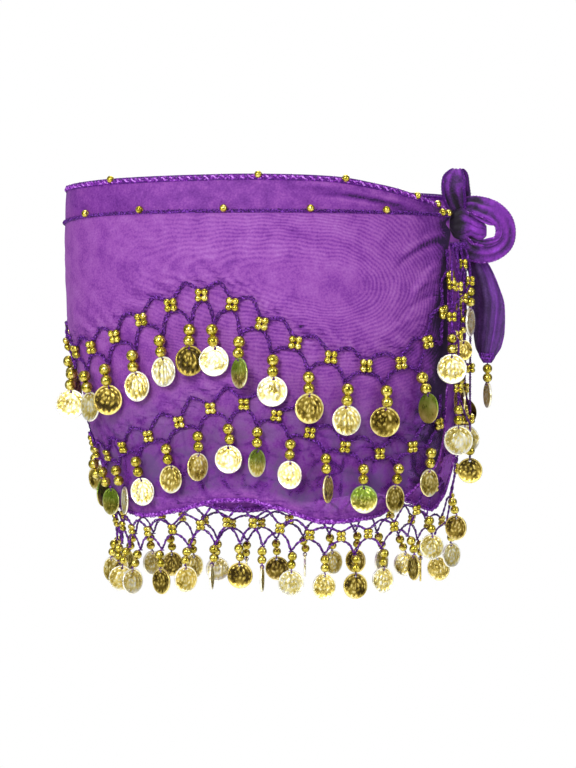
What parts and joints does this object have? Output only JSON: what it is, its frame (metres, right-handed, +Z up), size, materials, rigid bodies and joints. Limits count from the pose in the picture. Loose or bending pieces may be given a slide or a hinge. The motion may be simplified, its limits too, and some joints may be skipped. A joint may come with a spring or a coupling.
{
  "type": "belly dance hip scarf",
  "caption": "Worn hip scarf of sheer chiffon, tied in a bow at the left hip, with crocheted edges and swinging rows of beaded coin lace.",
  "frame": {"origin": "the middle of the wearer's hips at the height of the tie line, on the hip form's vertical axis; nothing of the scarf lies there because the hollow is the wearer's", "axes": "+Z up, -Y is the wearer's front, +X is the wearer's left hip, where the bow is tied"},
  "size_m": [0.3441, 0.2496, 0.3175],
  "materials": {
    "violet_chiffon": "sheer violet chiffon, soft and matt",
    "violet_crochet_thread": "twisted rayon crochet thread with small gilt beads",
    "gilt_coins_and_beads": "bright stamped gilt coins and polished gilt beads on violet thread"
  },
  "bodies": {
    "root": {"wrap_front": "violet_chiffon", "wrap_back": "violet_chiffon", "knot": "violet_chiffon", "bow_ear": "violet_chiffon", "bow_loop": "violet_chiffon", "tail": "violet_chiffon", "top_edging": "violet_crochet_thread", "hem_edging": "violet_crochet_thread", "beaded_chain": "violet_crochet_thread", "coin_row_upper": "gilt_coins_and_beads", "coin_row_middle": "gilt_coins_and_beads", "coin_row_hem": "gilt_coins_and_beads", "tail_pendant": "gilt_coins_and_beads", "gathered_lace": "gilt_coins_and_beads"}
  },
  "joints": []
}
